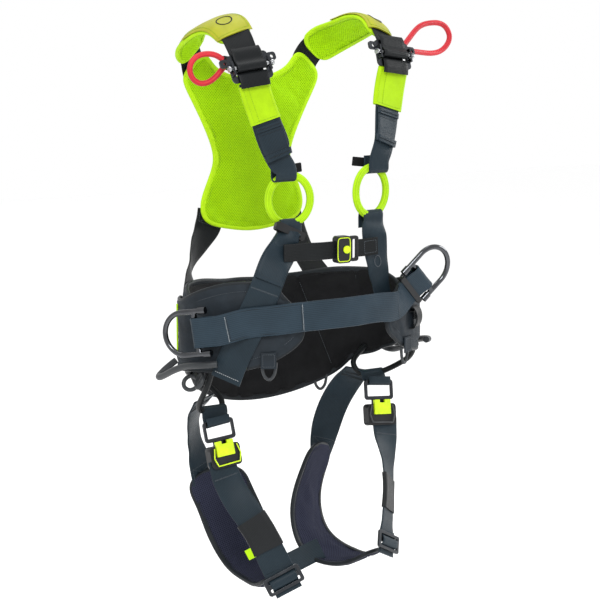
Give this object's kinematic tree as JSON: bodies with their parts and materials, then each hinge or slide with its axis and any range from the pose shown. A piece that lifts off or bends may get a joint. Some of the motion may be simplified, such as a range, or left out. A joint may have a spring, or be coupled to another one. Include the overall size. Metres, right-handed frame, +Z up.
{
  "type": "tree climbing saddle",
  "caption": "Full-body climbing harness with padded back, shoulders, waist belt and leg loops, side D-rings, textile front loops and quick-release buckles.",
  "frame": {"origin": "centre of the waist belt, where the wearer's waist is", "axes": "+Z up, -Y the way the wearer faces, +X to the wearer's left"},
  "size_m": [0.479, 0.2792, 0.8315],
  "materials": {
    "lime_mesh": "knitted mesh",
    "olive_cloth": "coated weave",
    "lime_cloth": "smooth tape",
    "slate_webbing": "ribbed webbing",
    "belt_cloth": "coated weave",
    "grey_mesh": "dotted mesh",
    "label_cloth": "woven label",
    "red_cord": "tubular tape",
    "dark_metal": "anodised",
    "steel": "satin",
    "black_plastic": "moulded",
    "lime_plastic": "moulded",
    "grey_rubber": "smooth tube"
  },
  "bodies": {
    "harness": {"accessory_loops": "slate_webbing", "adjuster_frame_left": "dark_metal", "adjuster_frame_right": "dark_metal", "attachment_loop_left": "lime_cloth", "attachment_loop_right": "lime_cloth", "back_pad": "lime_mesh", "back_strap_left": "slate_webbing", "back_strap_right": "slate_webbing", "chest_housing": "black_plastic", "chest_strap_right": "slate_webbing", "d_ring_keeper": "black_plastic", "front_strap_left": "slate_webbing", "front_strap_right": "slate_webbing", "gear_loop_left": "grey_rubber", "gear_loop_right": "grey_rubber", "hip_loops": "slate_webbing", "hip_riser_left": "slate_webbing", "hip_riser_right": "slate_webbing", "hip_wing_left": "belt_cloth", "hip_wing_right": "belt_cloth", "leg_buckle_body_left": "black_plastic", "leg_buckle_body_right": "black_plastic", "leg_front_strap_left": "slate_webbing", "leg_front_strap_right": "slate_webbing", "leg_hanger_left": "slate_webbing", "leg_hanger_right": "slate_webbing", "leg_pad_left": "grey_mesh", "leg_pad_right": "grey_mesh", "leg_sleeves": "slate_webbing", "leg_slides": "dark_metal", "loop_labels": "label_cloth", "lower_front_strap_left": "slate_webbing", "lower_front_strap_right": "slate_webbing", "lumbar_pad": "belt_cloth", "park_loop_left": "red_cord", "park_loop_right": "red_cord", "park_tabs": "slate_webbing", "shoulder_cover_left": "olive_cloth", "shoulder_cover_right": "olive_cloth", "shoulder_pad_left": "lime_mesh", "shoulder_pad_right": "lime_mesh", "shoulder_strap_left": "slate_webbing", "shoulder_strap_right": "slate_webbing", "strap_ends": "slate_webbing", "strap_keepers": "slate_webbing", "strap_sleeves": "lime_cloth", "strap_slider": "black_plastic", "subpelvic_strap": "slate_webbing", "waist_webbing": "slate_webbing"},
    "adjuster_bar_left": {"adjuster_bar_left": "dark_metal"},
    "adjuster_bar_right": {"adjuster_bar_right": "dark_metal"},
    "chest_button": {"chest_button": "lime_plastic"},
    "chest_tongue": {"chest_strap_left": "slate_webbing", "chest_tongue": "black_plastic"},
    "leg_buckle_frame_left": {"leg_buckle_frame_left": "dark_metal"},
    "leg_buckle_frame_right": {"leg_buckle_frame_right": "dark_metal"},
    "leg_buckle_lever_left": {"leg_buckle_lever_left": "lime_plastic"},
    "leg_buckle_lever_right": {"leg_buckle_lever_right": "lime_plastic"},
    "side_d_ring_left": {"side_d_ring_left": "steel"},
    "side_d_ring_right": {"side_d_ring_right": "steel"}
  },
  "joints": [
    {"name": "adjuster_bar_left_slide", "type": "slide", "parent": "harness", "child": "adjuster_bar_left", "axis": [0.0902, 0.41, 0.9076], "range_m": [-0.0016, 0.001]},
    {"name": "side_d_ring_left_hinge", "type": "hinge", "parent": "harness", "child": "side_d_ring_left", "pos_m": [0.133, -0.116, 0.049], "axis": [-0.6997, -0.1441, 0.6997], "range_deg": [-60, 60]},
    {"name": "leg_buckle_frame_left_slide", "type": "slide", "parent": "harness", "child": "leg_buckle_frame_left", "axis": [0.0801, 0.2115, 0.9741], "range_m": [0, 0.0115], "deforming": ["leg_hanger_left"]},
    {"name": "leg_buckle_lever_left_press", "type": "slide", "parent": "harness", "child": "leg_buckle_lever_left", "axis": [0, 0.9772, -0.2122], "range_m": [0, 0.0014], "stiffness_N_per_m": 400},
    {"name": "adjuster_bar_right_slide", "type": "slide", "parent": "harness", "child": "adjuster_bar_right", "axis": [-0.0902, 0.41, 0.9076], "range_m": [-0.0016, 0.001]},
    {"name": "side_d_ring_right_hinge", "type": "hinge", "parent": "harness", "child": "side_d_ring_right", "pos_m": [-0.2, -0.046, -0.011], "axis": [-0.08, 0.13, 0.9883], "range_deg": [-28, 38]},
    {"name": "leg_buckle_frame_right_slide", "type": "slide", "parent": "harness", "child": "leg_buckle_frame_right", "axis": [-0.0801, 0.2115, 0.9741], "range_m": [0, 0.0115], "deforming": ["leg_hanger_right"]},
    {"name": "leg_buckle_lever_right_press", "type": "slide", "parent": "harness", "child": "leg_buckle_lever_right", "axis": [0, 0.9772, -0.2122], "range_m": [0, 0.0014], "stiffness_N_per_m": 400},
    {"name": "chest_tongue_slide", "type": "slide", "parent": "harness", "child": "chest_tongue", "axis": [1, 0, 0], "range_m": [0, 0.012]},
    {"name": "chest_button_press", "type": "slide", "parent": "harness", "child": "chest_button", "axis": [0, 1, 0], "range_m": [0, 0.0014], "stiffness_N_per_m": 300}
  ]
}
